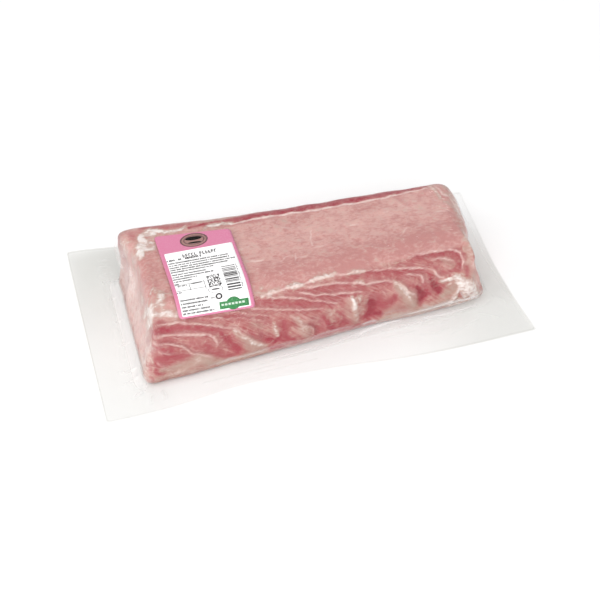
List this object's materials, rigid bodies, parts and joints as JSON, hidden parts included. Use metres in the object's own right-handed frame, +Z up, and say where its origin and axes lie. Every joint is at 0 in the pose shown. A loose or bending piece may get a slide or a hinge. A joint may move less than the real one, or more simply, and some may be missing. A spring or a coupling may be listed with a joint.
{
  "type": "vacuum packed pork loin",
  "caption": "Boneless pork loin sealed under vacuum between a drawn clear film and a flat clear film with a wide flange, with a paper label on top.",
  "frame": {"origin": "on the surface the pack rests on, under the middle of the box round the whole pack", "axes": "+X along the loin from the label's end to the other, +Y to the smooth straight back edge, -Y to the trimmed edge of leaves, +Z up"},
  "size_m": [0.3847, 0.215, 0.0692],
  "materials": {
    "meat": "satin",
    "top_film": "gloss",
    "base_film": "gloss",
    "label": "satin"
  },
  "bodies": {
    "root": {"loin": "meat", "top_film": "top_film", "base_film": "base_film", "label": "label"}
  },
  "joints": []
}
